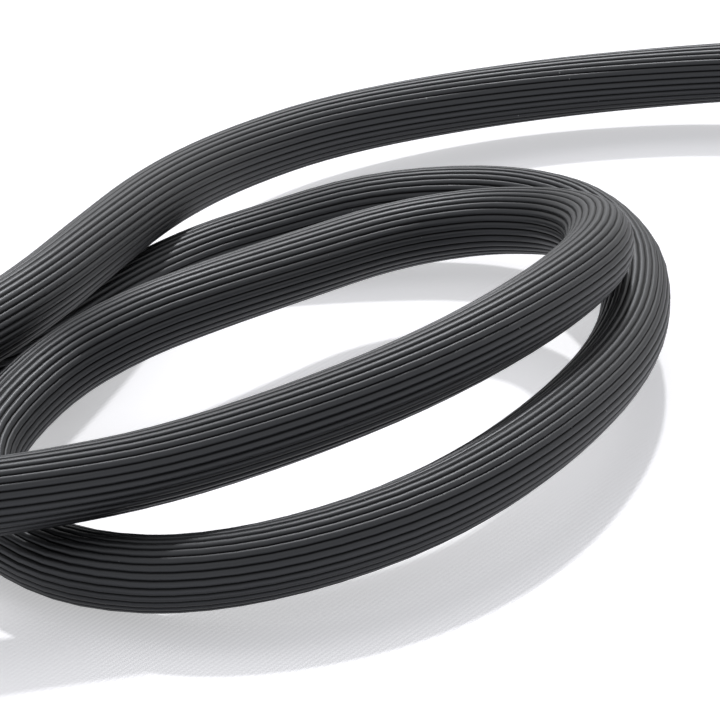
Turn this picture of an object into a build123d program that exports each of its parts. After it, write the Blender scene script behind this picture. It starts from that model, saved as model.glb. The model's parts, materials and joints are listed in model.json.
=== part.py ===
from build123d import *
import math
import os

# Microphone cable: 3 m of round cord with a three-contact female connector on one end and a
# three-contact male connector on the other. Millimetres, +Z up, all of it lies on z = 0.
# The origin is at the bottom centre of the box around the two connectors.
# The cord leaves the female connector, lies in two loops that cross each other, and the rest
# of its length is wound in a flat round coil, held by a strap, which ends at the male one.

# ---- cord
cord_diameter = 6.5
coil_columns = 5  # turns side by side
coil_layers = 2
turn_gap = 0.1  # air between turns that lie side by side
coil_mean_radius = 37.5
coil_centre_x = -78.0
coil_entry_angle = -57.0  # where the cord runs into the outer turn, degrees
coil_turns = 9.09
lead_in = 26.0  # straight cord on its way into the coil
lead_out = 26.0  # and on its way out
last_run = 12.5  # from the last free corner of the route to the coil's straight

# ---- places of the two connectors
connector_back_x = 116.0  # mouth of each boot, either side of the origin
connector_y = 51.0

# ---- lengths along a connector, from the mouth of its boot to its face
boot_length = 25.0
boot_flange = 2.7
boot_taper = 19.5
nut_lip = 2.0
nut_length = 13.8
nut_spigot = 7.5
jaw_cone = 4.0
clamp_flange = 3.0
clamp_slit_length = 12.6
jacket_stop = 4.6  # stripped cord inside the clamp
cavity_depth = 7.2
contact_reach = 1.6  # of the contacts into the insert's cavity
rear_body = 10.4  # insert between its cavity and the shoulder of the nose
shoulder = 1.7
nose_length = 16.1
insert_recess = 0.5  # of the female insert behind the nose's face
stop_lip = 1.0

# ---- radii, from the shell inwards
shell_radius = 9.75
shell_wall = 1.65
shell_edge = 0.6
nose_wall = 0.95
nut_step = 0.45  # of the nut below the shell
nut_wall = 1.1  # around the boot's flange
boot_wall = 1.2  # at the boot's mouth
boot_neck_wall = 3.2
clamp_wall = 3.2
clamp_mouth_wall = 2.6
cavity_wall = 1.55
stop_lip_height = 0.8

# ---- boot, nut and clamp details
slot_rows = 6
slot_pitch = 3.0
slot_width = 1.1
slot_floor = 0.6
slot_web = 2.6
nut_flutes = 12
flute_radius = 1.4
flute_depth = 0.5
clamp_slit = 1.2
grip_rings = 3
grip_ring_pitch = 2.2
grip_ring_width = 0.9
grip_ring_depth = 0.35
key_width = 2.2
key_height = 0.9

# ---- contacts and cores
contact_circle = 3.81  # the three contacts lie on this radius
stem_radius = 1.55
cup_bore = 1.05
cup_depth = 3.5
cup_notch = 2.1
socket_radius = 1.9
socket_bore = 1.25
socket_bore_depth = 15.0
socket_recess = 0.5  # behind the insert's face
socket_slit = 0.4
socket_slit_length = 11.0
pin_radius = 1.195
pin_recess = 1.7  # behind the barrel's face
pin_tip_round = 0.9
core_radius = 0.8
core_spread = 1.3  # of the insulated cores from the middle, inside the jacket
drain_radius = 0.5
core_bend = 1.8

# ---- latch of the female connector
latch_travel = 1.2
pad_length = 11.2
pad_lip = 1.0  # the plate is this much wider than the pad on each side
pad_proud = 0.7
pad_grooves = 3
pad_groove_pitch = 2.8
pad_groove_radius = 0.6
plate_thickness = 1.2
tongue_drop = 0.9  # of the tongue's top below the bore of the nose
tongue_width = 4.0
hook_back = 6.5  # behind the hook, from the shoulder's face
hook_length = 3.2
hook_proud = 1.0
hook_flat = 1.0
spring_wire = 0.25  # radius of the wire
spring_radius = 1.25
spring_bottom = -0.8  # from the connector's axis
spring_top = 8.0
spring_turns = 5

# ---- strap around the coil
strap_width = 14.0
strap_thickness = 1.2
strap_recess = 1.6

# ---- clearances
slip = 0.05  # a turned part in its bore
joint_gap = 0.15  # faces that meet along a connector
play = 0.3  # loose fit of the boot in the nut
move_gap = 0.35  # around the latch
pocket_floor_gap = 0.25  # under the latch when it is pressed home
strap_gap = 0.25

# ---- worked out: the coil
cord_radius = cord_diameter / 2
turn_pitch = cord_diameter + turn_gap
ring_half_width = (coil_columns - 1) / 2 * turn_pitch
outer_turn = coil_mean_radius + ring_half_width
coil_height = coil_layers * cord_diameter
ring_width = 2 * ring_half_width + cord_diameter
top_layer = coil_height - cord_radius
coil_centre_y = -connector_y + outer_turn

# ---- worked out: radii of a connector
axis_height = shell_radius
shell_bore = shell_radius - shell_wall
insert_radius = shell_bore - joint_gap
nose_radius = shell_bore - 4 * slip
nose_bore = nose_radius - nose_wall
insert_front_radius = nose_bore - 2 * slip
cavity_radius = insert_radius - cavity_wall
nut_radius = shell_radius - nut_step
nut_cavity_radius = nut_radius - nut_wall - play
boot_bore = cord_radius + joint_gap
boot_mouth_radius = boot_bore + boot_wall
boot_neck_radius = boot_bore + boot_neck_wall
boot_flange_radius = nut_cavity_radius - play
nut_bore = boot_neck_radius + play
clamp_bore = cord_radius + slip
clamp_radius = clamp_bore + clamp_wall
plate_top = nose_bore - tongue_drop
plate_bottom = plate_top - plate_thickness
plate_width = 2 * math.sqrt((insert_radius - 2 * slip) ** 2 - plate_top**2)
pad_width = plate_width - 2 * pad_lip
pocket_floor = plate_bottom - latch_travel - pocket_floor_gap

# ---- worked out: stations along a connector
boot_flange_start = boot_length - boot_flange
nut_start = boot_flange_start - play - nut_lip
nut_shoulder = nut_start + nut_length
shell_start = nut_shoulder + joint_gap
nut_end = nut_shoulder + nut_spigot
clamp_start = boot_length + play
clamp_end = nut_end + joint_gap + clamp_flange
jacket_end = clamp_end - jacket_stop
insert_start = clamp_end + joint_gap
cavity_end = insert_start + cavity_depth
contact_start = cavity_end - contact_reach
shoulder_inside = cavity_end + rear_body
nose_start = shoulder_inside + shoulder
connector_length = nose_start + nose_length
insert_front = connector_length - insert_recess
socket_end = insert_front - socket_recess
socket_seat = shoulder_inside + joint_gap
barrel_start = nose_start
stop_lip_radius = shell_bore - stop_lip_height
male_insert_end = barrel_start - stop_lip - joint_gap
pin_end = connector_length - pin_recess
plate_length = pad_length + 2 * move_gap
pad_middle = shoulder_inside - joint_gap - plate_length / 2
hook_start = nose_start + hook_back

# The free part of the cord, from the mouth of the female boot to the coil.
route = [
    (116, 51, 9.75), (106, 51, 9.75), (94, 53, 8), (81, 56, 5.5), (67, 56, 4),
    (34, 43, 5.5), (18, 31, 6.5), (9.5, 4, 10.5), (-1, -15, 10.5), (-14, -28.5, 9.5),
    (-12.5, -38.5, 9), (-6.5, -44.5, 9.5), (2.5, -46, 10), (22.5, -39.5, 11.5),
    (46.5, -25, 15.5), (54.5, -9, 14), (55, 0.5, 13), (50, 6.5, 11), (43, 7.5, 9.5),
    (34.5, 6, 9.5), (13.5, -14, 10.5), (7, -17.5, 8), (0.5, -25, 6), (0.5, -34.5, 4),
    (5.5, -43.5, 3.5), (15.5, -47.5, 3.5), (30, -46.5, 5.5), (46, -35.5, 7.5),
    (58, -14, 7.5), (59.5, 5.5, 7.5), (55, 14, 8), (46.5, 18.5, 7.5), (28, 18.5, 6),
    (15.5, 12, 3.5), (6, -5, 3.4), (-4.5, -13.2, 3.4),
]

os.makedirs("parts", exist_ok=True)


def seat(side):
    """X runs along a connector from the mouth of its boot to its face, and Y is up."""
    return Plane(
        origin=(side * connector_back_x, side * connector_y, axis_height),
        x_dir=(side, 0, 0),
        z_dir=(0, -side, 0),
    )


def across(base, along):
    """Square to a connector's axis, a distance along it, with Y up."""
    return Plane(
        origin=base.origin + base.x_dir * along, x_dir=-base.z_dir, z_dir=base.x_dir
    )


def level(base, along, height):
    """Level plane above or below a connector's axis, with X along it."""
    return Plane(
        origin=base.origin + base.x_dir * along + base.y_dir * height,
        x_dir=base.x_dir,
        z_dir=base.y_dir,
    )


def lane(base, spot):
    """The connector's own plane, moved sideways and up to one contact."""
    sideways, up = spot
    return Plane(
        origin=base.origin - base.z_dir * sideways + base.y_dir * up,
        x_dir=base.x_dir,
        z_dir=base.z_dir,
    )


def axis_of(base):
    return Axis(base.origin, base.x_dir)


def contact_spots(side):
    """Contacts 1 to 3, mirrored on the male side so that the two connectors mate."""
    return [(-side * contact_circle, 0), (side * contact_circle, 0), (0, -contact_circle)]


def keep(piece, name):
    piece.part.label = name
    export_step(piece.part, f"parts/{name}.step")


def arc_radii(points):
    """The largest tangent arc that the two runs at each corner leave room for."""
    corners = [Vector(*point) for point in points]
    radii = []
    for before, corner, after in zip(corners, corners[1:], corners[2:]):
        run_in, run_out = corner - before, after - corner
        turn = math.radians(run_in.get_angle(run_out))
        radii.append(0.45 * min(run_in.length, run_out.length) / math.tan(turn / 2))
    return radii


def coil_tangent():
    """Where the cord runs into the outer turn: the point, and the way the cord came."""
    angle = math.radians(coil_entry_angle)
    point = Vector(
        coil_centre_x + outer_turn * math.cos(angle),
        coil_centre_y + outer_turn * math.sin(angle),
        cord_radius,
    )
    return point, Vector(-math.sin(angle), math.cos(angle), 0)


def make_cable_run():
    """Tube from the female boot to the straight that leads into the coil."""
    joins, back = coil_tangent()
    ends = [tuple(joins + back * reach) for reach in (lead_in + last_run, lead_in)]
    points = route + ends
    radii = arc_radii(points)
    with BuildPart() as run:
        with BuildLine() as path:
            FilletPolyline(*points, radius=radii)
        with BuildSketch(Plane(origin=path.line @ 0, z_dir=path.line % 0)):
            Circle(cord_radius)
        sweep()
    keep(run, "cable_run")
    print("arc radii of the run:", [round(radius, 1) for radius in radii])
    length = path.wire().length
    share = run.part.volume / (math.pi * cord_radius**2 * length)
    print(f"run {length:.0f} mm, volume {share:.4f} of section x length")
    return length


def coil_section():
    """Half of the plane through the coil's axis that the strap lies round."""
    return Plane(origin=(coil_centre_x, coil_centre_y, 0), x_dir=(0, 1, 0), z_dir=(1, 0, 0))


def make_cable_coil():
    """The closed outer shape of all the turns, with the cord's straights in and out."""
    middle = (coil_mean_radius, coil_height / 2)
    joins, back = coil_tangent()
    with BuildPart() as coil:
        with BuildSketch(coil_section()):
            with Locations(middle):
                RectangleRounded(ring_width, coil_height, cord_radius - slip)
        revolve(axis=Axis((coil_centre_x, coil_centre_y, 0), (0, 0, 1)))
        # recess for the strap
        with BuildSketch(coil_section()):
            with Locations(middle):
                Rectangle(2 * ring_width, 2 * coil_height)
                RectangleRounded(
                    ring_width - 2 * strap_recess,
                    coil_height - 2 * strap_recess,
                    cord_radius - strap_recess,
                    mode=Mode.SUBTRACT,
                )
        extrude(amount=strap_width / 2 + strap_gap, both=True, mode=Mode.SUBTRACT)
        # cord in along the surface and out from the top of the outer turn
        with BuildSketch(Plane(origin=joins, z_dir=back)):
            Circle(cord_radius)
        extrude(amount=lead_in)
        with BuildSketch(Plane(origin=(coil_centre_x, -connector_y, top_layer), z_dir=(-1, 0, 0))):
            Circle(cord_radius)
        extrude(amount=lead_out)
    keep(coil, "cable_coil")
    return 2 * math.pi * coil_mean_radius * coil_turns + lead_in + lead_out


def make_cable_tail():
    """Straight from the coil to the mouth of the male boot."""
    start = coil_centre_x - lead_out
    length = start + connector_back_x
    with BuildPart() as tail:
        with BuildSketch(Plane(origin=(start, -connector_y, top_layer), z_dir=(-1, 0, 0))):
            Circle(cord_radius)
        extrude(amount=length)
    keep(tail, "cable_tail")
    return length


def make_cable_tie():
    """Closed loop of strap that lies in the coil's recess."""
    inner = strap_recess - strap_gap
    outer = inner - strap_thickness
    with BuildPart() as tie:
        with BuildSketch(coil_section()):
            with Locations((coil_mean_radius, coil_height / 2)):
                RectangleRounded(ring_width - 2 * outer, coil_height - 2 * outer, cord_radius - outer)
                RectangleRounded(
                    ring_width - 2 * inner,
                    coil_height - 2 * inner,
                    cord_radius - inner,
                    mode=Mode.SUBTRACT,
                )
        extrude(amount=strap_width / 2, both=True)
    keep(tie, "cable_tie")


def make_cable_end(side, name):
    """The cord inside its connector, up to where the jacket is stripped."""
    with BuildPart() as end:
        with BuildSketch(across(seat(side), 0)):
            Circle(cord_radius)
        extrude(amount=jacket_end)
    keep(end, f"{name}_cable_end")


def make_boot(side, name):
    """Soft strain relief: a slotted taper with a flange that the nut traps."""
    base = seat(side)
    rim = 0.5
    with BuildPart() as boot:
        with BuildSketch(base):
            with BuildLine():
                Polyline(
                    (0, boot_bore),
                    (0, boot_mouth_radius - rim),
                    (rim, boot_mouth_radius),
                    (boot_taper, boot_neck_radius),
                    (boot_flange_start, boot_neck_radius),
                    (boot_flange_start, boot_flange_radius),
                    (boot_length, boot_flange_radius),
                    (boot_length, boot_bore),
                    close=True,
                )
            make_face()
        revolve(axis=axis_of(base))
        # slots in pairs, each row a quarter turn on from the last
        for row in range(slot_rows):
            with BuildSketch(across(base, slot_pitch / 2 + row * slot_pitch)):
                Circle(boot_flange_radius)
                Circle(boot_bore + slot_floor, mode=Mode.SUBTRACT)
                Rectangle(slot_web, 4 * boot_neck_radius, rotation=90 * (row % 2), mode=Mode.SUBTRACT)
            extrude(amount=slot_width, mode=Mode.SUBTRACT)
    keep(boot, f"{name}_boot")


def make_nut(side, name):
    """Fluted nut whose spigot screws into the shell and whose lip holds the boot."""
    base = seat(side)
    cavity_start = nut_start + nut_lip
    rim = 1.0
    edge = 0.3
    with BuildPart() as nut:
        with BuildSketch(base):
            with BuildLine():
                Polyline(
                    (nut_start, nut_bore),
                    (nut_start, nut_radius - rim),
                    (nut_start + rim, nut_radius),
                    (nut_shoulder - edge, nut_radius),
                    (nut_shoulder, nut_radius - edge),
                    (nut_shoulder, insert_radius),
                    (nut_end, insert_radius),
                    (nut_end, nut_bore),
                    (clamp_start + jaw_cone, nut_bore),
                    (clamp_start, nut_cavity_radius),
                    (cavity_start, nut_cavity_radius),
                    (cavity_start, nut_bore),
                    close=True,
                )
            make_face()
        revolve(axis=axis_of(base))
        with BuildSketch(across(base, cavity_start)):
            with PolarLocations(nut_radius + flute_radius - flute_depth, nut_flutes):
                Circle(flute_radius)
        extrude(amount=nut_shoulder - cavity_start - 1.5 * rim, mode=Mode.SUBTRACT)
    keep(nut, f"{name}_nut")


def make_clamp(side, name):
    """Slit collar that the nut squeezes on to the cord."""
    base = seat(side)
    flange_start = clamp_end - clamp_flange
    flange_radius = insert_radius - play
    with BuildPart() as clamp:
        with BuildSketch(base):
            with BuildLine():
                Polyline(
                    (clamp_start, clamp_bore),
                    (clamp_start, clamp_bore + clamp_mouth_wall),
                    (clamp_start + jaw_cone, clamp_radius),
                    (flange_start, clamp_radius),
                    (flange_start, flange_radius),
                    (clamp_end, flange_radius),
                    (clamp_end, clamp_bore),
                    close=True,
                )
            make_face()
        revolve(axis=axis_of(base))
        with BuildSketch(across(base, clamp_start)):
            Rectangle(clamp_slit, 3 * clamp_radius)
            Rectangle(3 * clamp_radius, clamp_slit)
        extrude(amount=clamp_slit_length, mode=Mode.SUBTRACT)
    keep(clamp, f"{name}_clamp")


def cut_grip_rings(base):
    """Shallow rings turned into the rear of the shell, for the fingers."""
    with BuildSketch(base) as rings:
        for ring in range(grip_rings):
            with Locations((shell_start + 3 + ring * grip_ring_pitch, shell_radius)):
                Rectangle(grip_ring_width, 2 * grip_ring_depth)
    revolve(rings.sketch, axis=axis_of(base), mode=Mode.SUBTRACT)


def make_female_shell():
    """Metal shell with a narrower nose, a window for the latch pad and one for its hook."""
    base = seat(1)
    with BuildPart() as shell:
        with BuildSketch(base):
            with BuildLine():
                Polyline(
                    (shell_start, shell_bore),
                    (shell_start, shell_radius - shell_edge),
                    (shell_start + shell_edge, shell_radius),
                    (nose_start - shell_edge, shell_radius),
                    (nose_start, shell_radius - shell_edge),
                    (nose_start, nose_radius),
                    (connector_length - shell_edge, nose_radius),
                    (connector_length, nose_radius - shell_edge),
                    (connector_length, nose_bore),
                    (shoulder_inside + joint_gap, nose_bore),
                    (shoulder_inside + joint_gap, shell_bore),
                    close=True,
                )
            make_face()
        revolve(axis=axis_of(base))
        cut_grip_rings(base)
        with BuildSketch(level(base, pad_middle, plate_top)):
            Rectangle(pad_length + 2 * move_gap, pad_width + 2 * move_gap)
        extrude(amount=shell_radius, mode=Mode.SUBTRACT)
        with BuildSketch(level(base, hook_start + hook_length / 2, plate_top)):
            Rectangle(hook_length + 2 * move_gap, tongue_width + 2 * move_gap)
        extrude(amount=shell_radius, mode=Mode.SUBTRACT)
        # keyway, open at the front of the nose
        with BuildSketch(across(base, nose_start + 2)):
            with Locations((0, -nose_radius)):
                Rectangle(key_width + 2 * joint_gap, 2 * nose_wall + joint_gap)
        extrude(amount=connector_length, mode=Mode.SUBTRACT)
    keep(shell, "female_shell")


def make_male_shell():
    """Metal shell whose open barrel takes the nose of a female connector."""
    base = seat(-1)
    with BuildPart() as shell:
        with BuildSketch(base):
            with BuildLine():
                Polyline(
                    (shell_start, shell_bore),
                    (shell_start, shell_radius - shell_edge),
                    (shell_start + shell_edge, shell_radius),
                    (connector_length - shell_edge, shell_radius),
                    (connector_length, shell_radius - shell_edge),
                    (connector_length, shell_bore + shell_edge / 2),
                    (connector_length - shell_edge / 2, shell_bore),
                    (barrel_start, shell_bore),
                    (barrel_start, stop_lip_radius),
                    (barrel_start - stop_lip, stop_lip_radius),
                    (barrel_start - stop_lip, shell_bore),
                    close=True,
                )
            make_face()
        revolve(axis=axis_of(base))
        cut_grip_rings(base)
        # recess that the hook of a female connector springs into
        hook_middle = barrel_start + connector_length - hook_start - hook_length / 2
        with BuildSketch(level(base, hook_middle, plate_top)):
            Rectangle(hook_length + 2 * move_gap, tongue_width + 2 * move_gap)
        extrude(amount=nose_radius + hook_proud + joint_gap - plate_top, mode=Mode.SUBTRACT)
        # key
        with BuildSketch(across(base, barrel_start + 1)):
            with Locations((0, -shell_bore + key_height / 2 - joint_gap)):
                Rectangle(key_width, key_height + 2 * joint_gap)
        extrude(amount=connector_length - barrel_start - 2)
    keep(shell, "male_shell")


def cut_contact_holes(base, side, start, end, radius):
    with BuildSketch(across(base, start)) as holes:
        with Locations(*contact_spots(side)):
            Circle(radius)
    extrude(holes.sketch, amount=end - start, mode=Mode.SUBTRACT)


def make_female_insert():
    """Moulded body that holds the sockets and gives the latch its pocket."""
    base = seat(1)
    with BuildPart() as insert:
        with BuildSketch(base):
            with BuildLine():
                Polyline(
                    (insert_start, cavity_radius),
                    (insert_start, insert_radius),
                    (shoulder_inside, insert_radius),
                    (shoulder_inside, insert_front_radius),
                    (insert_front, insert_front_radius),
                    (insert_front, 0),
                    (cavity_end, 0),
                    (cavity_end, cavity_radius),
                    close=True,
                )
            make_face()
        revolve(axis=axis_of(base))
        cut_contact_holes(base, 1, cavity_end, socket_seat, stem_radius + slip)
        cut_contact_holes(base, 1, socket_seat, insert_front, socket_radius + slip)
        # pocket for the latch plate, slot for its tongue and well for its spring
        with BuildSketch(level(base, pad_middle, pocket_floor)):
            Rectangle(plate_length + 2 * move_gap, plate_width + 2 * move_gap)
        extrude(amount=shell_radius, mode=Mode.SUBTRACT)
        slot_end = hook_start + hook_length + move_gap
        with BuildSketch(level(base, (pad_middle + slot_end) / 2, pocket_floor)):
            Rectangle(slot_end - pad_middle, tongue_width + 2 * move_gap)
        extrude(amount=shell_radius, mode=Mode.SUBTRACT)
        with BuildSketch(level(base, pad_middle, pocket_floor)):
            Circle(spring_radius + spring_wire + move_gap)
        extrude(amount=spring_bottom - slip - pocket_floor, mode=Mode.SUBTRACT)
        # groove for the key of a male connector
        with BuildSketch(across(base, nose_start + 2)):
            with Locations((0, -insert_front_radius)):
                Rectangle(key_width + 2 * joint_gap, 2 * joint_gap)
        extrude(amount=connector_length, mode=Mode.SUBTRACT)
    keep(insert, "female_insert")


def make_male_insert():
    """Moulded disc and skirt that hold the pins behind the barrel."""
    base = seat(-1)
    with BuildPart() as insert:
        with BuildSketch(base):
            with BuildLine():
                Polyline(
                    (insert_start, cavity_radius),
                    (insert_start, insert_radius),
                    (male_insert_end, insert_radius),
                    (male_insert_end, 0),
                    (cavity_end, 0),
                    (cavity_end, cavity_radius),
                    close=True,
                )
            make_face()
        revolve(axis=axis_of(base))
        cut_contact_holes(base, -1, cavity_end, male_insert_end, stem_radius + slip)
    keep(insert, "male_insert")


def cut_solder_cup(own):
    """The upper side of a contact's cup is cut away so that a core can be laid in."""
    with BuildSketch(own) as notch:
        with Locations((contact_start + cup_notch / 2, stem_radius / 2 + core_radius / 4)):
            Rectangle(cup_notch, stem_radius)
    extrude(notch.sketch, amount=2 * stem_radius, both=True, mode=Mode.SUBTRACT)


def make_socket(number, spot):
    """Female contact: cup for the core at the back, slit bore at the front."""
    own = lane(seat(1), spot)
    with BuildPart() as socket:
        with BuildSketch(own):
            with BuildLine():
                Polyline(
                    (contact_start, cup_bore),
                    (contact_start, stem_radius),
                    (socket_seat, stem_radius),
                    (socket_seat, socket_radius),
                    (socket_end, socket_radius),
                    (socket_end, socket_bore),
                    (socket_end - socket_bore_depth, socket_bore),
                    (socket_end - socket_bore_depth, 0),
                    (contact_start + cup_depth, 0),
                    (contact_start + cup_depth, cup_bore),
                    close=True,
                )
            make_face()
        revolve(axis=axis_of(own))
        cut_solder_cup(own)
        with BuildSketch(own):
            with Locations((socket_end - socket_slit_length / 2, 0)):
                Rectangle(socket_slit_length, socket_slit)
        extrude(amount=2 * socket_radius, both=True, mode=Mode.SUBTRACT)
    keep(socket, f"female_socket_{number}")


def make_pin(number, spot):
    """Male contact: the same cup, and a round-ended pin."""
    own = lane(seat(-1), spot)
    with BuildPart() as pin:
        with BuildSketch(own):
            with BuildLine():
                Polyline(
                    (contact_start, cup_bore),
                    (contact_start, stem_radius),
                    (male_insert_end, stem_radius),
                    (male_insert_end, pin_radius),
                    (pin_end, pin_radius),
                    (pin_end, 0),
                    (contact_start + cup_depth, 0),
                    (contact_start + cup_depth, cup_bore),
                    close=True,
                )
            make_face()
        revolve(axis=axis_of(own))
        fillet(pin.edges().sort_by(axis_of(own))[-1], pin_tip_round)
        cut_solder_cup(own)
    keep(pin, f"male_pin_{number}")


def make_core(side, name, spot, start, radius):
    """One stripped core, from the end of the jacket into its contact's cup."""
    base = seat(side)
    stops = [
        (jacket_end, *start),
        (clamp_end - 1.5, *start),
        (contact_start - 1.5, *spot),
        (contact_start + cup_depth - joint_gap, *spot),
    ]
    points = [
        base.origin + base.x_dir * along - base.z_dir * sideways + base.y_dir * up
        for along, sideways, up in stops
    ]
    with BuildPart() as core:
        with BuildLine() as path:
            FilletPolyline(*points, radius=core_bend)
        with BuildSketch(Plane(origin=path.line @ 0, z_dir=path.line % 0)):
            Circle(radius)
        sweep()
    keep(core, name)


def make_cores(side, name):
    screen_spot, hot_spot, cold_spot = contact_spots(side)
    across_pair, below, above = core_spread, -0.9 * core_spread, 1.2 * core_spread
    make_core(side, f"{name}_drain_wire", screen_spot, (-side * across_pair / 2, above), drain_radius)
    make_core(side, f"{name}_core_hot", hot_spot, (side * across_pair, 0), core_radius)
    make_core(side, f"{name}_core_cold", cold_spot, (-side * across_pair / 2, below), core_radius)


def make_latch():
    """Release latch: crowned pad, plate that keeps it in the shell, tongue and hook."""
    base = seat(1)
    crown = shell_radius + pad_proud
    hook_top = nose_radius + hook_proud
    hook_end = hook_start + hook_length
    with BuildPart() as latch:
        with BuildSketch(level(base, pad_middle, plate_bottom)):
            Rectangle(plate_length, plate_width)
        extrude(amount=plate_thickness)
        with BuildSketch(level(base, pad_middle, plate_bottom)):
            RectangleRounded(pad_length, pad_width, 1)
        extrude(amount=crown)
        with BuildSketch(across(base, pad_middle - pad_length)):
            Circle(2 * crown)
            Circle(crown, mode=Mode.SUBTRACT)
        extrude(amount=2 * pad_length, mode=Mode.SUBTRACT)
        with BuildSketch(base):
            with Locations((pad_middle, crown)):
                with GridLocations(pad_groove_pitch, 0, pad_grooves, 1):
                    Circle(pad_groove_radius)
        extrude(amount=pad_width, both=True, mode=Mode.SUBTRACT)
        with BuildSketch(base):
            with BuildLine():
                Polyline(
                    (pad_middle, plate_bottom),
                    (pad_middle, plate_top),
                    (hook_start, plate_top),
                    (hook_start, hook_top),
                    (hook_start + hook_flat, hook_top),
                    (hook_end, plate_top + hook_proud / 2),
                    (hook_end, plate_bottom),
                    close=True,
                )
            make_face()
        extrude(amount=tongue_width / 2, both=True)
        with BuildSketch(level(base, pad_middle, plate_bottom)):
            Circle(spring_radius + spring_wire + move_gap)
        extrude(amount=spring_top + slip - plate_bottom, mode=Mode.SUBTRACT)
    keep(latch, "female_latch")


def make_latch_spring():
    """Coil spring that stands in the insert's well and lifts the latch."""
    base = seat(1)
    height = spring_top - spring_bottom - 2 * spring_wire
    foot = level(base, pad_middle, spring_bottom + spring_wire).origin
    with BuildPart() as spring:
        with BuildLine() as path:
            Helix(pitch=height / spring_turns, height=height, radius=spring_radius, center=foot)
        with BuildSketch(Plane(origin=path.line @ 0, z_dir=path.line % 0)):
            Circle(spring_wire)
        sweep(is_frenet=True)
    keep(spring, "female_latch_spring")


def make_common(side, name):
    make_cable_end(side, name)
    make_boot(side, name)
    make_nut(side, name)
    make_clamp(side, name)
    make_cores(side, name)


cord_length = make_cable_run() + make_cable_coil() + make_cable_tail()
print(f"cord between the boots {cord_length / 1000:.2f} m")
make_cable_tie()

make_common(1, "female")
make_female_shell()
make_female_insert()
for number, spot in enumerate(contact_spots(1), start=1):
    make_socket(number, spot)
make_latch()
make_latch_spring()

make_common(-1, "male")
make_male_shell()
make_male_insert()
for number, spot in enumerate(contact_spots(-1), start=1):
    make_pin(number, spot)
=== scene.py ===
# Microphone cable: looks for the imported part. Metres, Z up, the part's own frame.
import json
import math

import bpy
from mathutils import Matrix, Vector


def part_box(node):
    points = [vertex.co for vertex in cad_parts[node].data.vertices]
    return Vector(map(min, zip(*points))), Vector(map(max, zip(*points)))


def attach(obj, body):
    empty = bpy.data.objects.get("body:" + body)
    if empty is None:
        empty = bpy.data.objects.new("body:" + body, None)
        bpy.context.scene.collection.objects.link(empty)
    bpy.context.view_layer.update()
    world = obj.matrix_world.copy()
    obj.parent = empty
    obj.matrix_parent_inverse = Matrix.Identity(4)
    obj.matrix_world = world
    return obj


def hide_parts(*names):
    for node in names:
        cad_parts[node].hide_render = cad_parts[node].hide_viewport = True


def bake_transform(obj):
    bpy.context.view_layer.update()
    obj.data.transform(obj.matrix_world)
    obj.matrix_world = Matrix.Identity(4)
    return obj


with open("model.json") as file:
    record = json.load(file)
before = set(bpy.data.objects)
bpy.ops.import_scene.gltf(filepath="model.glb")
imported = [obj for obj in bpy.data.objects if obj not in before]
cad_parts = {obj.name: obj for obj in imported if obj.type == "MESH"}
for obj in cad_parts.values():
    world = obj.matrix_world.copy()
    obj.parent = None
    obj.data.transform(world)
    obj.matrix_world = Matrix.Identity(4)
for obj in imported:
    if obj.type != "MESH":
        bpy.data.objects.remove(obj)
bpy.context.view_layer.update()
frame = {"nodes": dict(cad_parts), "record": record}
nodes = frame["nodes"]
print("frame loaded:", len(nodes), "nodes")


camera = {
    "place": (0.033, -0.2909, 0.144),
    "lookAt": (0.033, -0.002, 0.0),
    "lens": 170.2,
    "sensor": 36.0,
}


def makeCamera():
    data = bpy.data.cameras.new("camera")
    data.lens = camera["lens"]
    data.sensor_width = camera["sensor"]
    data.clip_start = 0.01
    data.clip_end = 20
    shooter = bpy.data.objects.new("camera", data)
    shooter.location = camera["place"]
    aim = Vector(camera["lookAt"]) - Vector(camera["place"])
    shooter.rotation_euler = aim.to_track_quat("-Z", "Y").to_euler()
    bpy.context.scene.collection.objects.link(shooter)
    bpy.context.scene.camera = shooter


makeCamera()
print("camera placed")


# Small tools for node trees and meshes.
def put(tree, kind, place, sockets=None, **settings):
    node = tree.nodes.new(kind)
    node.location = place
    for name, value in settings.items():
        setattr(node, name, value)
    for name, value in (sockets or {}).items():
        node.inputs[name].default_value = value
    return node


def wire(tree, *pairs):
    for start, end in pairs:
        tree.links.new(start, end)


def feed(tree, socket, value):
    if isinstance(value, bpy.types.NodeSocket):
        tree.links.new(value, socket)
    else:
        socket.default_value = value


def work(tree, operation, place, *values):
    node = put(tree, "ShaderNodeMath", place, operation=operation)
    for socket, value in zip(node.inputs, values):
        feed(tree, socket, value)
    return node.outputs[0]


def blend(tree, place, factor, first, second):
    node = put(tree, "ShaderNodeMix", place, data_type="RGBA")
    for number, value in ((0, factor), (6, first), (7, second)):
        feed(tree, node.inputs[number], value)
    return node.outputs[2]


noiseRange = (0.3, 0.7)  # most of a noise texture's values lie between these


def spread(tree, place, value, low, high, to=(0.0, 1.0)):
    node = put(tree, "ShaderNodeMapRange", place,
               {"From Min": low, "From Max": high, "To Min": to[0], "To Max": to[1]},
               interpolation_type="SMOOTHSTEP")
    feed(tree, node.inputs["Value"], value)
    return node.outputs["Result"]


def noise(tree, place, where, scale, detail=3.0, roughness=0.55):
    node = put(tree, "ShaderNodeTexNoise", place, {"Detail": detail, "Roughness": roughness})
    feed(tree, node.inputs["Scale"], scale)
    wire(tree, (where, node.inputs["Vector"]))
    return node.outputs["Fac"]


def stretched(tree, place, where, scale):
    node = put(tree, "ShaderNodeMapping", place, {"Scale": scale})
    wire(tree, (where, node.inputs["Vector"]))
    return node.outputs["Vector"]


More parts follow.
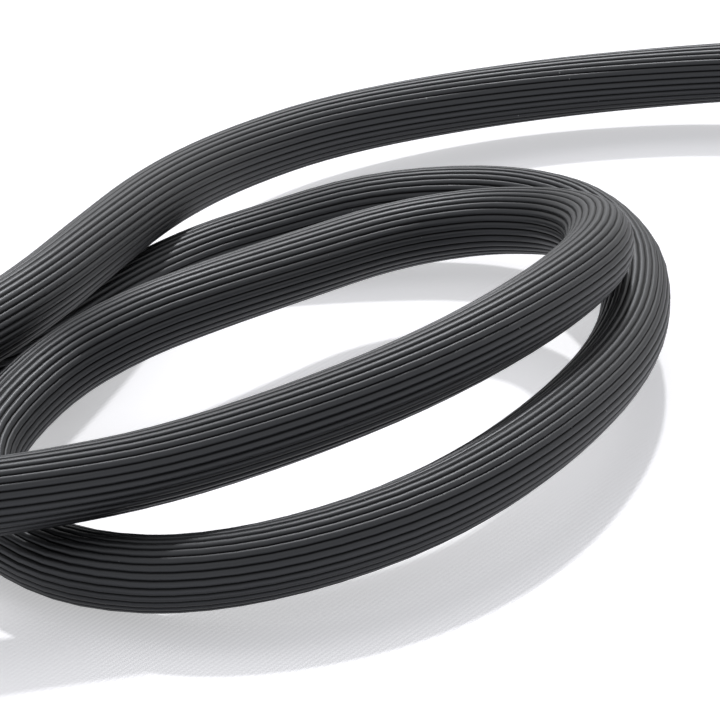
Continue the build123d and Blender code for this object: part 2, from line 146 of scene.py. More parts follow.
def addMesh(name, points, faces, smooth=True):
    mesh = bpy.data.meshes.new(name)
    mesh.from_pydata(points, [], faces)
    mesh.validate()
    if smooth:
        mesh.polygons.foreach_set("use_smooth", [True] * len(mesh.polygons))
    mesh.update()
    piece = bpy.data.objects.new(name, mesh)
    bpy.context.scene.collection.objects.link(piece)
    return piece


cord = {
    "diameter": 0.0065,
    "length": 2.77,
    "ribs": 29,
    "grooveDepth": 0.00024,
    "shoulderDrop": 0.00006,
    "crownDrop": 0.000012,
    "twist": 9.0,  # radians per metre
    "bendPerRing": math.radians(5),
    "longestStep": 0.0022,
    "coilBendPerRing": math.radians(9),
    "coilLongestStep": 0.006,
}

# The free part, from the mouth of the female boot through both loops.
cordRoute = [
    (0.116, 0.051, 0.00975), (0.106, 0.051, 0.00975), (0.094, 0.0535, 0.008),
    (0.082, 0.0565, 0.0065), (0.07, 0.0575, 0.0055), (0.05, 0.0535, 0.005), (0.031, 0.0435, 0.0055),
    (0.02, 0.0315, 0.0065), (0.013, 0.016, 0.009), (0.008, 0.001, 0.0105), (0.003, -0.012, 0.011),
    (-0.005, -0.024, 0.0105), (-0.013, -0.033, 0.0105), (-0.016, -0.0415, 0.0105),
    (-0.012, -0.049, 0.0105), (-0.003, -0.05, 0.0105), (0.008, -0.0465, 0.0105),
    (0.017, -0.0435, 0.011), (0.028, -0.0385, 0.0125), (0.038, -0.0325, 0.014),
    (0.047, -0.024, 0.015), (0.054, -0.012, 0.0145), (0.0555, -0.0035, 0.0135),
    (0.054, 0.0025, 0.012), (0.0505, 0.007, 0.0105), (0.044, 0.009, 0.0095),
    (0.0355, 0.0065, 0.009), (0.027, -0.0015, 0.0095), (0.0185, -0.0095, 0.01),
    (0.012, -0.0145, 0.0095), (0.006, -0.0185, 0.0075), (0.002, -0.026, 0.0065),
    (0, -0.0325, 0.0055), (0.001, -0.039, 0.004), (0.0055, -0.0445, 0.0035),
    (0.011, -0.048, 0.0035), (0.019, -0.0505, 0.0045), (0.029, -0.0485, 0.0055),
    (0.04, -0.042, 0.0065), (0.05, -0.0305, 0.0075), (0.0575, -0.014, 0.007),
    (0.0595, 0.0015, 0.007), (0.0575, 0.0115, 0.007), (0.0535, 0.018, 0.007),
    (0.0455, 0.022, 0.0065), (0.034, 0.021, 0.006), (0.0235, 0.0175, 0.004),
    (0.0165, 0.013, 0.0034), (0.0095, 0.004, 0.0034), (0.002, -0.0095, 0.0034),
    (-0.0045, -0.0145, 0.0034),
]

coil = {
    "centre": (-0.078, -0.0003),
    "outerTurn": 0.0507,
    "columnPitch": 0.0066,
    "columns": 5,
    "lowerLayer": 0.00325,
    "upperLayer": 0.00975,
    "entryAngle": -57.0,
    "turned": 3273.0,  # degrees wound, clockwise from above
    "pointsPerTurn": 24,
    "inwardSteps": (290, 360),  # where each lower turn steps in, degrees into the turn
    "climb": (1640, 1735),
    "outwardSteps": (140, 210),
    "firstOutward": 1940,
    "outOfRound": 0.0004,
    "settleOver": 60,  # degrees from either end without the wobble
    "strapLift": 0.0016,
    "liftFlat": 0.0105,  # half of the length that lies level on the strap
    "liftEnd": 0.030,
    "leadIn": 0.026,
    "lastRun": 0.0125,
}


def eased(value, low, high):
    share = min(1, max(0, (value - low) / (high - low)))
    return share * share * (3 - 2 * share)


# A place on the coil's line, a number of degrees into the winding.
def coilSpot(wound, widen=1.0):
    steps = sum(eased(wound, 360 * turn + coil["inwardSteps"][0], 360 * turn + coil["inwardSteps"][1])
                for turn in range(coil["columns"] - 1))
    span = coil["outwardSteps"][1] - coil["outwardSteps"][0]
    steps -= sum(eased(wound, coil["firstOutward"] + 360 * turn, coil["firstOutward"] + 360 * turn + span)
                 for turn in range(coil["columns"] - 1))
    angle = math.radians(coil["entryAngle"] - wound)
    wobble = coil["outOfRound"] * (math.cos(2 * angle + 0.7) + 0.6 * math.cos(3 * angle))
    wobble *= eased(wound, 0, coil["settleOver"])
    wobble *= 1 - eased(wound, coil["turned"] - coil["settleOver"], coil["turned"])
    radius = (coil["outerTurn"] - coil["columnPitch"] * steps + wobble) * widen
    height = coil["lowerLayer"] + (coil["upperLayer"] - coil["lowerLayer"]) * eased(wound, *coil["climb"])
    aside = radius * math.cos(angle)
    if math.sin(angle) > 0:
        height += coil["strapLift"] * (1 - eased(abs(aside), coil["liftFlat"], coil["liftEnd"]))
    return Vector((coil["centre"][0] + aside, coil["centre"][1] + radius * math.sin(angle), height))


# The spline's points from the coil's lead to the end of the cord in the male boot.
def coilPoints():
    count = round(coil["turned"] / 360 * coil["pointsPerTurn"])
    step = coil["turned"] / count
    widen = 1 / math.cos(math.radians(step / 2))
    reach = coil["outerTurn"] * math.tan(math.radians(step / 2))
    entry, leave = coilSpot(0), coilSpot(coil["turned"])
    entryAngle = math.radians(coil["entryAngle"])
    back = Vector((-math.sin(entryAngle), math.cos(entryAngle), 0))
    onward = Vector((-1, 0, 0))
    before = [entry + back * far for far in (coil["leadIn"] + coil["lastRun"], coil["leadIn"], reach)]
    turns = [coilSpot((number + 0.5) * step, widen) for number in range(count)]
    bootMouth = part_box("male_cable_end")[1].x
    after = [leave + onward * reach, leave + onward * coil["leadIn"], Vector((bootMouth, leave.y, leave.z))]
    return before + turns + after


def readSpline(points):
    curve = bpy.data.curves.new("cord_line", "CURVE")
    curve.dimensions = "3D"
    spline = curve.splines.new("NURBS")
    spline.points.add(len(points) - 1)
    for knot, place in zip(spline.points, points):
        knot.co = (*place, 1)
    spline.order_u = 3
    spline.use_endpoint_u = True
    spline.resolution_u = 12
    holder = bpy.data.objects.new("cord_line", curve)
    bpy.context.scene.collection.objects.link(holder)
    bpy.context.view_layer.update()
    mesh = bpy.data.meshes.new_from_object(holder)
    line = [vertex.co.copy() for vertex in mesh.vertices]
    bpy.data.objects.remove(holder)
    bpy.data.curves.remove(curve)
    bpy.data.meshes.remove(mesh)
    return line


# Ring centres, closer together where the line bends and further apart in the coil.
def ringCentres(line, coilStart):
    kept = [line[0]]
    lastWay = (line[1] - line[0]).normalized()
    for number in range(1, len(line) - 1):
        way = (line[number + 1] - line[number]).normalized()
        inCoil = number > coilStart
        bend = cord["coilBendPerRing"] if inCoil else cord["bendPerRing"]
        step = cord["coilLongestStep"] if inCoil else cord["longestStep"]
        if way.angle(lastWay, 0) > bend or (line[number] - kept[-1]).length > step:
            kept.append(line[number])
            lastWay = way
    kept.append(line[-1])
    return kept


# One turn of the section: each rib is a rounded ridge between two narrow grooves.
def ribbedRing():
    radius = cord["diameter"] / 2
    spots = ((0, cord["grooveDepth"]), (0.14, cord["shoulderDrop"]), (0.36, cord["crownDrop"]),
             (0.64, cord["crownDrop"]), (0.86, cord["shoulderDrop"]))
    return [((rib + share) * 2 * math.pi / cord["ribs"], radius - drop)
            for rib in range(cord["ribs"]) for share, drop in spots]


# Wraps a list of rings in faces and gives them a map: round the section, and metres along.
def skin(name, verts, size, reached, around=1.0):
    faces = []
    rings = len(verts) // size
    for ring in range(rings - 1):
        for corner in range(size):
            after = (corner + 1) % size
            faces.append((ring * size + corner, (ring + 1) * size + corner,
                          (ring + 1) * size + after, ring * size + after))
    faces.append(tuple(range(size)))
    faces.append(tuple(reversed(range(len(verts) - size, len(verts)))))
    piece = addMesh(name, verts, faces)
    layer = piece.data.uv_layers.new(name="along")
    for face in piece.data.polygons:
        if len(face.vertices) > 4:
            continue
        closing = face.vertices[0] % size == size - 1
        for loop, vertex in zip(face.loop_indices, face.vertices):
            ring, corner = divmod(vertex, size)
            share = 1.0 if closing and corner == 0 else corner / size
            layer.data[loop].uv = (share * around, reached[ring])
    return piece


def makeCable():
    line = readSpline([Vector(place) for place in cordRoute] + coilPoints())
    joins = coilSpot(0)
    coilStart = min(range(len(line)), key=lambda number: (line[number] - joins).length)
    centres = ringCentres(line, coilStart)
    section = ribbedRing()
    last = len(centres) - 1
    ways = [(centres[min(number + 1, last)] - centres[max(number - 1, 0)]).normalized()
            for number in range(len(centres))]
    up = Vector((0, 0, 1))
    travelled = 0.0
    verts, reached = [], []
    for number, centre in enumerate(centres):
        if number:
            up = ways[number - 1].rotation_difference(ways[number]) @ up
            travelled += (centre - centres[number - 1]).length
        up = (up - ways[number] * up.dot(ways[number])).normalized()
        side = ways[number].cross(up)
        reached.append(travelled)
        lean = cord["twist"] * travelled
        for angle, radius in section:
            verts.append(centre + (up * math.cos(angle + lean) + side * math.sin(angle + lean)) * radius)
    cable = skin("cable", verts, len(section), reached)
    print(f"cable: {len(centres)} rings, {len(cable.data.polygons)} faces, {travelled:.3f} m")
    return cable, centres


cable, cableCentres = makeCable()
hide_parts("cable_run", "cable_coil", "cable_tail")
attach(cable, "main")


# The strap round the coil.
strap = {
    "width": 0.014,
    "thickness": 0.0012,
    "air": 0.00012,
    "lap": 1.03,  # thicknesses that the outer end stands above the layer under it
    "cornerSteps": 8,
    "edgeRound": 0.0003,
}


# The strap's middle line, seen along the cord: once round the bundle, then over itself.
def strapLine():
    radius = cord["diameter"] / 2
    inner = coil["outerTurn"] - coil["columnPitch"] * (coil["columns"] - 1)
    low = coil["strapLift"] + coil["lowerLayer"]
    high = coil["strapLift"] + coil["upperLayer"]
    middle = coil["centre"][1]
    corners = [(middle + coil["outerTurn"], high), (middle + coil["outerTurn"], low),
               (middle + inner, low), (middle + inner, high)]
    around = radius + strap["air"] + strap["thickness"] / 2
    loop = []
    for number, (y, z) in enumerate(corners):
        for step in range(strap["cornerSteps"] + 1):
            angle = math.radians(90 - 90 * (number + step / strap["cornerSteps"]))
            loop.append(Vector((0, y + around * math.cos(angle), z + around * math.sin(angle))))
    top = [loop[-1].lerp(loop[0], share) for share in (0.36, 0.68)]
    lapped = [loop[-1].lerp(loop[0], share)
              + Vector((0, 0, strap["thickness"] * strap["lap"] * eased(share, 0.02, 0.25)))
              for share in (0.08, 0.16, 0.24, 0.32, 0.5, 0.7, 0.86)]
    return top + loop + lapped


def makeStrap():
    line = strapLine()
    half = strap["width"] / 2
    thick = strap["thickness"] / 2
    edge = strap["edgeRound"]
    outline = [
        (-half, thick - edge), (-half + edge, thick), (-half / 2, thick), (0, thick),
        (half / 2, thick), (half - edge, thick), (half, thick - edge), (half, -thick + edge),
        (half - edge, -thick), (0, -thick), (-half + edge, -thick), (-half, -thick + edge),
    ]
    verts, reached = [], []
    travelled = 0.0
    last = len(line) - 1
    for number, place in enumerate(line):
        if number:
            travelled += (place - line[number - 1]).length
        reached.append(travelled)
        way = (line[min(number + 1, last)] - line[max(number - 1, 0)]).normalized()
        out = way.cross(Vector((1, 0, 0)))
        for across, lift in outline:
            verts.append(Vector((coil["centre"][0] + across, 0, 0)) + place + out * lift)
    return skin("coil_strap", verts, len(outline), reached, around=2 * (strap["width"] + strap["thickness"]))


coilStrap = makeStrap()
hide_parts("cable_tie")
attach(coilStrap, "main")
print("strap made")


# The latch's spring, a fixed coil the size of the part's own spring; the real one shortens when the latch is
# pressed.
spring = {"wire": 0.00025, "turns": 5, "stepsPerTurn": 20, "corners": 10}


def makeSpring():
    low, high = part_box("female_latch_spring")
    middle = (low + high) / 2
    radius = (high.x - low.x) / 2 - spring["wire"]
    count = spring["turns"] * spring["stepsPerTurn"]
    rise = (high.z - low.z - 2 * spring["wire"]) / count
    verts, reached = [], []
    for number in range(count + 1):
        angle = 2 * math.pi * number / spring["stepsPerTurn"]
        out = Vector((math.cos(angle), math.sin(angle), 0))
        way = Vector((-out.y, out.x, rise * spring["stepsPerTurn"] / (2 * math.pi * radius))).normalized()
        centre = Vector((middle.x, middle.y, low.z + spring["wire"] + rise * number)) + out * radius
        reached.append(2 * math.pi * radius * number / spring["stepsPerTurn"])
        for corner in range(spring["corners"]):
            turn = 2 * math.pi * corner / spring["corners"]
            verts.append(centre + (out * math.cos(turn) + way.cross(out) * math.sin(turn)) * spring["wire"])
    piece = skin("latch_spring", verts, spring["corners"], reached)
    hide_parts("female_latch_spring")
    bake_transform(piece)
    return piece


latchSpring = makeSpring()
print("spring made")


# Effects that several materials share are node groups.
def newGroup(name, inputs, outputs):
    group = bpy.data.node_groups.new(name, "ShaderNodeTree")
    for title, value in inputs.items():
        socket = group.interface.new_socket(title, in_out="INPUT", socket_type="NodeSocketFloat")
        socket.default_value = value
    for title in outputs:
        group.interface.new_socket(title, in_out="OUTPUT", socket_type="NodeSocketFloat")
    return group, put(group, "NodeGroupInput", (-1000, 0)), put(group, "NodeGroupOutput", (600, 0))


# Moulding grain: a fine height, and a broad mottle for colour and gloss.
def makeGrainGroup():
    group, given, result = newGroup("mouldGrain", {"Scale": 3000.0, "Broad": 0.05}, ["Height", "Mottle"])
    where = put(group, "ShaderNodeTexCoord", (-1000, -200)).outputs["Object"]
    broad = work(group, "MULTIPLY", (-700, -250), given.outputs["Scale"], given.outputs["Broad"])
    fine = noise(group, (-400, 100), where, given.outputs["Scale"], 2.0, 0.5)
    mottle = noise(group, (-400, -200), where, broad, 4.0, 0.6)
    wire(group, (fine, result.inputs["Height"]),
         (spread(group, (0, -200), mottle, *noiseRange), result.inputs["Mottle"]))
    return group


# Specks of dust: small round dots, some of the cells only.
def makeDustGroup():
    group, given, result = newGroup("dustSpecks", {"Scale": 700.0, "Share": 0.12, "Size": 0.12}, ["Mask"])
    where = put(group, "ShaderNodeTexCoord", (-1000, -200)).outputs["Object"]
    cells = put(group, "ShaderNodeTexVoronoi", (-600, 0))
    wire(group, (where, cells.inputs["Vector"]), (given.outputs["Scale"], cells.inputs["Scale"]))
    pick = put(group, "ShaderNodeSeparateColor", (-350, -150))
    wire(group, (cells.outputs["Color"], pick.inputs[0]))
    chosen = work(group, "LESS_THAN", (-100, -150), pick.outputs[0], given.outputs["Share"])
    size = work(group, "MULTIPLY", (-100, -350), given.outputs["Size"], pick.outputs[1])
    dot = work(group, "LESS_THAN", (-100, 100), cells.outputs["Distance"], size)
    wire(group, (work(group, "MULTIPLY", (200, 0), chosen, dot), result.inputs["Mask"]))
    return group


# Rubbed edges: where a rounded normal leaves the true one, broken up by noise.
def makeWearGroup():
    group, given, result = newGroup("edgeWear", {"Radius": 0.0004, "Broken": 0.5}, ["Mask"])
    where = put(group, "ShaderNodeTexCoord", (-1000, -300)).outputs["Object"]
    rounded = put(group, "ShaderNodeBevel", (-700, 100), samples=4)
    wire(group, (given.outputs["Radius"], rounded.inputs["Radius"]))
    true = put(group, "ShaderNodeNewGeometry", (-700, -100)).outputs["Normal"]
    agree = put(group, "ShaderNodeVectorMath", (-450, 0), operation="DOT_PRODUCT")
    wire(group, (rounded.outputs["Normal"], agree.inputs[0]), (true, agree.inputs[1]))
    edge = spread(group, (-200, 0), agree.outputs["Value"], 0.99, 0.85)
    patches = spread(group, (-200, -300), noise(group, (-450, -300), where, 900.0, 4.0, 0.65), 0.35, 0.65)
    kept = work(group, "SUBTRACT", (0, -500), 1.0, given.outputs["Broken"])
    patchy = work(group, "MULTIPLY_ADD", (100, -300), patches, given.outputs["Broken"], kept)
    wire(group, (work(group, "MULTIPLY", (350, 0), edge, patchy), result.inputs["Mask"]))
    return group


# Marks of turning and drawing, which change along X and hardly round it.
def makeTurnedGroup():
    group, given, result = newGroup("turnedLines", {"Pitch": 9000.0, "Round": 120.0}, ["Height"])
    where = put(group, "ShaderNodeTexCoord", (-1000, -200)).outputs["Object"]
    ways = put(group, "ShaderNodeSeparateXYZ", (-800, -200))
    wire(group, (where, ways.inputs[0]))
    joined = put(group, "ShaderNodeCombineXYZ", (-300, 0))
    for number, title in enumerate(("Pitch", "Round", "Round")):
        place = (-550, 100 - 200 * number)
        scaled = work(group, "MULTIPLY", place, ways.outputs[number], given.outputs[title])
        wire(group, (scaled, joined.inputs[number]))
    wire(group, (noise(group, (0, 0), joined.outputs[0], 1.0, 3.0, 0.6), result.inputs["Height"]))
    return group


groups = {
    "grain": makeGrainGroup(),
    "dust": makeDustGroup(),
    "wear": makeWearGroup(),
    "turned": makeTurnedGroup(),
}
print("effects built:", ", ".join(groups))


def use(tree, name, place, **values):
    node = put(tree, "ShaderNodeGroup", place)
    node.node_tree = groups[name]
    for title, value in values.items():
        node.inputs[title].default_value = value
    return node.outputs


def newMaterial(name, **values):
    material = bpy.data.materials.new(name)
    material.use_nodes = True
    tree = material.node_tree
    tree.nodes.clear()
    shader = put(tree, "ShaderNodeBsdfPrincipled", (500, 0))
    for title, value in values.items():
        shader.inputs[title.replace("_", " ")].default_value = value
    output = put(tree, "ShaderNodeOutputMaterial", (800, 0))
    wire(tree, (shader.outputs[0], output.inputs[0]))
    return material, tree, shader


def bump(tree, place, height, distance, strength, shader):
    node = put(tree, "ShaderNodeBump", place, {"Strength": strength, "Distance": distance})
    wire(tree, (height, node.inputs["Height"]), (node.outputs[0], shader.inputs["Normal"]))


jacket = {
    "colour": (0.0016, 0.0017, 0.0019, 1),
    "worn": (0.003, 0.003, 0.0032, 1),
    "dust": (0.16, 0.16, 0.16, 1),
    "gloss": (0.42, 0.52),
    "shineTint": (0.90, 0.93, 1.0, 1),
    # The low shine in the grooves is painted shade: it darkens the reflection inside each groove.
    "grooveShadedShine": (0.07, 0.60),  # in the grooves, and on the ribs
    "grooveEdge": (0.04, 0.34),  # where a groove ends and a rib's shine is full, in rib widths
    "drawLines": (230.0, 18.0),  # across the section, and per metre along
    "drawShare": 0.7,
    "grainScale": 5000.0,
    "grainBroad": 0.03,  # the mottle's scale as a share of the grain's
    "grainShare": 0.5,
    "dustScale": 900.0,
    "dustShare": 0.10,
    "dustSize": 0.10,
    "bumpDepth": 0.00002,
    "bumpStrength": 0.6,
}


def makeJacketMaterial():
    material, tree, shader = newMaterial("cable_jacket")
    shader.inputs["Specular Tint"].default_value = jacket["shineTint"]
    along = put(tree, "ShaderNodeUVMap", (-1100, 200), uv_map="along").outputs[0]
    lengthwise = stretched(tree, (-900, 200), along, (*jacket["drawLines"], 1))
    drawn = noise(tree, (-700, 200), lengthwise, 1.0, 3.0, 0.6)
    ways = put(tree, "ShaderNodeSeparateXYZ", (-900, 450))
    wire(tree, (along, ways.inputs[0]))
    # A mask across each rib: painted shade lowers the shine in the grooves, and the ribs keep full shine.
    ribs = work(tree, "MULTIPLY", (-700, 450), ways.outputs[0], cord["ribs"])
    fromGroove = work(tree, "PINGPONG", (-500, 450), ribs, 0.5)
    grooveShadedShine = spread(tree, (-300, 450), fromGroove, *jacket["grooveEdge"], jacket["grooveShadedShine"])
    wire(tree, (grooveShadedShine, shader.inputs["Specular IOR Level"]))
    grain = use(tree, "grain", (-700, -100), Scale=jacket["grainScale"], Broad=jacket["grainBroad"])
    dust = use(tree, "dust", (-700, -400),
               Scale=jacket["dustScale"], Share=jacket["dustShare"], Size=jacket["dustSize"])
    rubber = blend(tree, (-300, 200), grain["Mottle"], jacket["colour"], jacket["worn"])
    wire(tree, (blend(tree, (0, 200), dust["Mask"], rubber, jacket["dust"]), shader.inputs["Base Color"]))
    wire(tree, (spread(tree, (-300, -50), drawn, *noiseRange, jacket["gloss"]), shader.inputs["Roughness"]))
    grains = work(tree, "MULTIPLY", (-500, -300), grain["Height"], jacket["grainShare"])
    height = work(tree, "MULTIPLY_ADD", (-300, -300), drawn, jacket["drawShare"], grains)
    bump(tree, (0, -300), height, jacket["bumpDepth"], jacket["bumpStrength"], shader)
    return material


moulding = {
    "grainBroad": 0.04,
    "wearBroken": 0.6,
    "dust": (0.2, 0.2, 0.2, 1),
    "dustScale": 600.0,
    "dustSize": 0.1,
    "bumpDepth": 0.00003,
}


# Moulded rubber or plastic: grain, mottled gloss, paler rubbed edges and a little dust.
def makeMouldedMaterial(name, look):
    material, tree, shader = newMaterial(name)
    grain = use(tree, "grain", (-700, 0), Scale=look["grain"], Broad=moulding["grainBroad"])
    wear = use(tree, "wear", (-700, -250), Radius=look["edge"], Broken=moulding["wearBroken"])
    dust = use(tree, "dust", (-700, -450),
               Scale=moulding["dustScale"], Share=look["dust"], Size=moulding["dustSize"])
    mottled = blend(tree, (-350, 200), grain["Mottle"], look["colour"], look["mottle"])
    edges = work(tree, "MULTIPLY", (-350, -200), wear["Mask"], look["wear"])
    worn = blend(tree, (-100, 200), edges, mottled, look["rubbed"])
    wire(tree, (blend(tree, (200, 200), dust["Mask"], worn, moulding["dust"]), shader.inputs["Base Color"]))
    gloss = spread(tree, (-100, -50), grain["Mottle"], 0.0, 1.0, look["gloss"])
    wire(tree, (gloss, shader.inputs["Roughness"]))
    bump(tree, (0, -300), grain["Height"], moulding["bumpDepth"], look["depth"], shader)
    return material


metalwork = {
    "grainBroad": 0.03,
    "wearBroken": 0.4,
    "lineShare": 0.6,
    "grainShare": 0.4,
    "bumpDepth": 0.00002,
}


# Plated or bare metal: turning marks, a mottled plate and brighter rubbed edges.
def makeMetalMaterial(name, look):
    material, tree, shader = newMaterial(name, Metallic=1.0)
    turned = use(tree, "turned", (-700, 0), Pitch=look["pitch"], Round=look["round"])
    grain = use(tree, "grain", (-700, -250), Scale=look["grain"], Broad=metalwork["grainBroad"])
    wear = use(tree, "wear", (-700, -500), Radius=look["edge"], Broken=metalwork["wearBroken"])
    plate = blend(tree, (-350, 200), grain["Mottle"], look["colour"], look["mottle"])
    wire(tree, (blend(tree, (0, 200), wear["Mask"], plate, look["rubbed"]), shader.inputs["Base Color"]))
    lines = work(tree, "MULTIPLY", (-350, -100), turned["Height"], metalwork["lineShare"])
    marks = work(tree, "MULTIPLY_ADD", (-150, -100), grain["Height"], metalwork["grainShare"], lines)
    wire(tree, (spread(tree, (100, -50), marks, *noiseRange, look["gloss"]), shader.inputs["Roughness"]))
    bump(tree, (200, -300), marks, metalwork["bumpDepth"], look["depth"], shader)
    return material


# Woven strap: two crossing sets of threads, with a napped face, and painted shade low in the weave.
weave = {
    "threadScale": 238.73186,  # of the wave texture, about 760 threads per metre
    "threadWander": 0.6,
    # Thread colours: the low parts of the weave take the dark one as painted shade between the threads, and
    # raised threads take the light one.
    "shadedThread": (0.010, 0.010, 0.012, 1),
    "light": (0.045, 0.045, 0.050, 1),
    "paintedWeaveShade": (0.6, 1.6),  # the heights at which a thread is dark and light
    "nap": 9000.0,
    "napShare": 0.8,
    "gloss": (0.75, 0.95),
    "bumpDepth": 0.00012,
    "bumpStrength": 0.8,
}


def makeStrapMaterial():
    material, tree, shader = newMaterial("strap_fabric", Sheen_Weight=0.35, Sheen_Roughness=0.4)
    along = put(tree, "ShaderNodeUVMap", (-1200, 0), uv_map="along").outputs[0]
    where = put(tree, "ShaderNodeTexCoord", (-1200, -300)).outputs["Object"]
    threads = []
    for number, direction in enumerate(("X", "Y")):
        wave = put(tree, "ShaderNodeTexWave", (-800, 200 - 250 * number),
                   {"Scale": weave["threadScale"], "Distortion": weave["threadWander"], "Detail": 1.0},
                   bands_direction=direction)
        wire(tree, (along, wave.inputs["Vector"]))
        threads.append(wave.outputs["Fac"])
    over = work(tree, "MAXIMUM", (-500, 100), *threads)
    nap = noise(tree, (-800, -350), where, weave["nap"], 4.0, 0.7)
    height = work(tree, "MULTIPLY_ADD", (-300, -100), nap, weave["napShare"], over)
    # Colour by height: painted shade in the weave's low parts, lighter on the raised threads.
    paintedWeaveShade = spread(tree, (-300, 200), height, *weave["paintedWeaveShade"])
    wire(tree, (blend(tree, (0, 200), paintedWeaveShade, weave["shadedThread"], weave["light"]), shader.inputs["Base Color"]))
    wire(tree, (spread(tree, (0, 0), nap, *noiseRange, weave["gloss"]), shader.inputs["Roughness"]))
    bump(tree, (0, -300), height, weave["bumpDepth"], weave["bumpStrength"], shader)
    return material


mouldedLooks = {
    "boot_rubber": {"colour": (0.012, 0.012, 0.0125, 1), "mottle": (0.018, 0.018, 0.0185, 1),
                    "rubbed": (0.05, 0.05, 0.052, 1), "wear": 0.5, "grain": 3500.0, "edge": 0.0004,
                    "gloss": (0.50, 0.62), "depth": 0.5, "dust": 0.10},
    "black_plastic": {"colour": (0.014, 0.014, 0.015, 1), "mottle": (0.019, 0.019, 0.020, 1),
                      "rubbed": (0.07, 0.07, 0.073, 1), "wear": 0.5, "grain": 5000.0, "edge": 0.0003,
                      "gloss": (0.34, 0.46), "depth": 0.35, "dust": 0.05},
    "clamp_plastic": {"colour": (0.10, 0.11, 0.13, 1), "mottle": (0.13, 0.14, 0.16, 1),
                      "rubbed": (0.24, 0.25, 0.27, 1), "wear": 0.4, "grain": 2500.0, "edge": 0.0003,
                      "gloss": (0.36, 0.48), "depth": 0.3, "dust": 0.02},
    "core_red": {"colour": (0.42, 0.022, 0.018, 1), "mottle": (0.52, 0.035, 0.028, 1),
                 "rubbed": (0.62, 0.10, 0.09, 1), "wear": 0.3, "grain": 2000.0, "edge": 0.0001,
                 "gloss": (0.34, 0.42), "depth": 0.2, "dust": 0.0},
    "core_white": {"colour": (0.70, 0.69, 0.66, 1), "mottle": (0.78, 0.77, 0.74, 1),
                   "rubbed": (0.82, 0.81, 0.79, 1), "wear": 0.3, "grain": 2000.0, "edge": 0.0001,
                   "gloss": (0.34, 0.42), "depth": 0.2, "dust": 0.0},
}
metalLooks = {
    "shell_metal": {"colour": (0.50, 0.49, 0.47, 1), "mottle": (0.56, 0.55, 0.53, 1),
                    "rubbed": (0.78, 0.77, 0.75, 1), "pitch": 4000.0, "round": 250.0, "grain": 9000.0,
                    "edge": 0.00035, "gloss": (0.30, 0.44), "depth": 0.5},
    "latch_metal": {"colour": (0.48, 0.47, 0.45, 1), "mottle": (0.54, 0.53, 0.51, 1),
                    "rubbed": (0.80, 0.79, 0.77, 1), "pitch": 2500.0, "round": 600.0, "grain": 7000.0,
                    "edge": 0.0003, "gloss": (0.24, 0.38), "depth": 0.4},
    "spring_steel": {"colour": (0.42, 0.42, 0.42, 1), "mottle": (0.50, 0.50, 0.51, 1),
                     "rubbed": (0.60, 0.60, 0.60, 1), "pitch": 900.0, "round": 6000.0, "grain": 8000.0,
                     "edge": 0.00005, "gloss": (0.20, 0.34), "depth": 0.3},
    "contact_metal": {"colour": (0.72, 0.56, 0.30, 1), "mottle": (0.80, 0.65, 0.38, 1),
                      "rubbed": (0.88, 0.80, 0.62, 1), "pitch": 7000.0, "round": 300.0, "grain": 6000.0,
                      "edge": 0.00015, "gloss": (0.16, 0.30), "depth": 0.4},
    "bare_wire": {"colour": (0.50, 0.46, 0.42, 1), "mottle": (0.62, 0.58, 0.54, 1),
                  "rubbed": (0.70, 0.60, 0.50, 1), "pitch": 1200.0, "round": 5000.0, "grain": 4000.0,
                  "edge": 0.00008, "gloss": (0.26, 0.42), "depth": 0.9},
}

finishes = {"cable_jacket": makeJacketMaterial(), "strap_fabric": makeStrapMaterial()}
finishes.update({name: makeMouldedMaterial(name, look) for name, look in mouldedLooks.items()})
finishes.update({name: makeMetalMaterial(name, look) for name, look in metalLooks.items()})


def dress(piece, material):
    piece.data.materials.clear()
    piece.data.materials.append(material)


for part in frame["record"]["subparts"]:
    dress(nodes[part["node"]], finishes[part["material_slot"]])
dress(cable, finishes["cable_jacket"])
dress(coilStrap, finishes["strap_fabric"])
dress(latchSpring, finishes["spring_steel"])
print("materials set:", len(finishes))


# Floor and light.
stage = {
    "floorHalf": 4.0,
    "cloth": (0.93, 0.925, 0.955, 1),
    "clothLine": (0.84, 0.835, 0.865, 1),
    "lineTone": (0.90, 0.90, 0.91, 1),
    "linePitch": 0.00056,  # along X
    "lineLean": -0.77,
    "lineWander": 0.6,
    "whitening": 0.46,
    "sunWay": (-0.10, -0.95, -1.0),
    "sunStrength": 1.8,
    "sunSize": 3.0,  # degrees
    "room": (0.24, 0.245, 0.265, 1),
    "softboxes": (  # the way to each, its strength, and the cosines at which it fades out and is full
        ((-0.30, 0.62, 0.72), 1.5, 0.76, 0.97),
    ),
}


# One where the camera, or a mirror or glass that it looks into, sees a surface; else zero.
def seenFactor(tree, left, top):
    path = put(tree, "ShaderNodeLightPath", (left, top))
    beyond = work(tree, "MAXIMUM", (left + 150, top + 100),
                  path.outputs["Is Glossy Ray"], path.outputs["Is Transmission Ray"])
    return work(tree, "MAXIMUM", (left + 300, top), path.outputs["Is Camera Ray"], beyond)


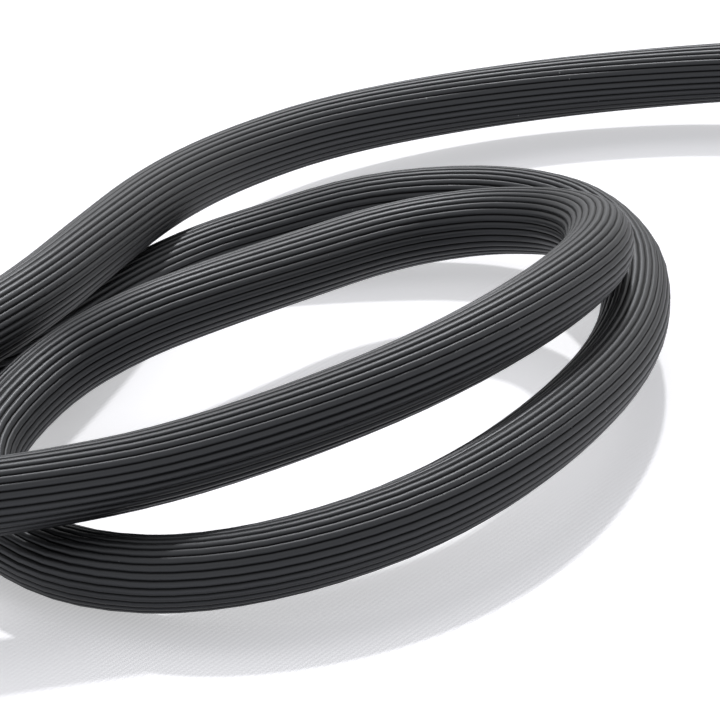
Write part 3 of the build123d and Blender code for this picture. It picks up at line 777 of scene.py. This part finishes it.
def makeFloor():
    half = stage["floorHalf"]
    floor = addMesh("floor", [(-half, -half, 0), (half, -half, 0), (half, half, 0), (-half, half, 0)],
                    [(0, 1, 2, 3)], smooth=False)
    material, tree, shader = newMaterial("floor_cloth", Roughness=0.9)
    shader.inputs["Specular IOR Level"].default_value = 0.0
    where = put(tree, "ShaderNodeTexCoord", (-900, 0)).outputs["Object"]
    lines = put(tree, "ShaderNodeTexWave", (-600, 0),
                {"Scale": math.pi / 5 / stage["linePitch"], "Distortion": stage["lineWander"]},
                bands_direction="DIAGONAL")
    leaning = stretched(tree, (-750, 0), where, (1, stage["lineLean"], 0))
    wire(tree, (leaning, lines.inputs["Vector"]))
    wire(tree, (blend(tree, (-300, 0), lines.outputs["Fac"], stage["cloth"], stage["clothLine"]),
                shader.inputs["Base Color"]))
    wire(tree, (blend(tree, (0, 200), lines.outputs["Fac"], (1, 1, 1, 1), stage["lineTone"]),
                shader.inputs["Emission Color"]))
    whitening = work(tree, "MULTIPLY", (400, 400), seenFactor(tree, 0, 400), stage["whitening"])
    wire(tree, (whitening, shader.inputs["Emission Strength"]))
    dress(floor, material)


def makeLight():
    sun = bpy.data.lights.new("sun", "SUN")
    sun.energy = stage["sunStrength"]
    sun.angle = math.radians(stage["sunSize"])
    lamp = bpy.data.objects.new("sun", sun)
    lamp.rotation_euler = Vector(stage["sunWay"]).to_track_quat("-Z", "Y").to_euler()
    bpy.context.scene.collection.objects.link(lamp)
    world = bpy.data.worlds.new("studio")
    bpy.context.scene.world = world
    world.use_nodes = True
    tree = world.node_tree
    tree.nodes.clear()
    way = put(tree, "ShaderNodeTexCoord", (-1100, 0)).outputs["Generated"]
    level = 0.0
    for number, (aim, strength, faded, full) in enumerate(stage["softboxes"]):
        facing = put(tree, "ShaderNodeVectorMath", (-850, -300 * number), operation="DOT_PRODUCT")
        facing.inputs[1].default_value = Vector(aim).normalized()
        wire(tree, (way, facing.inputs[0]))
        box = spread(tree, (-600, -300 * number), facing.outputs["Value"], faded, full, (0.0, strength))
        level = work(tree, "ADD", (-350, -300 * number), box, level)
    both = put(tree, "ShaderNodeMix", (-100, 0), data_type="RGBA", blend_type="ADD")
    wire(tree, (level, both.inputs[7]))
    both.inputs[0].default_value = 1.0
    both.inputs[6].default_value = stage["room"]
    light = put(tree, "ShaderNodeBackground", (300, 0))
    shown = blend(tree, (100, 0), seenFactor(tree, -350, 300), both.outputs[2], (1, 1, 1, 1))
    wire(tree, (shown, light.inputs["Color"]))
    output = put(tree, "ShaderNodeOutputWorld", (500, 0))
    wire(tree, (light.outputs[0], output.inputs[0]))


makeFloor()
makeLight()
bpy.context.scene.view_settings.view_transform = "Standard"
print("stage set")
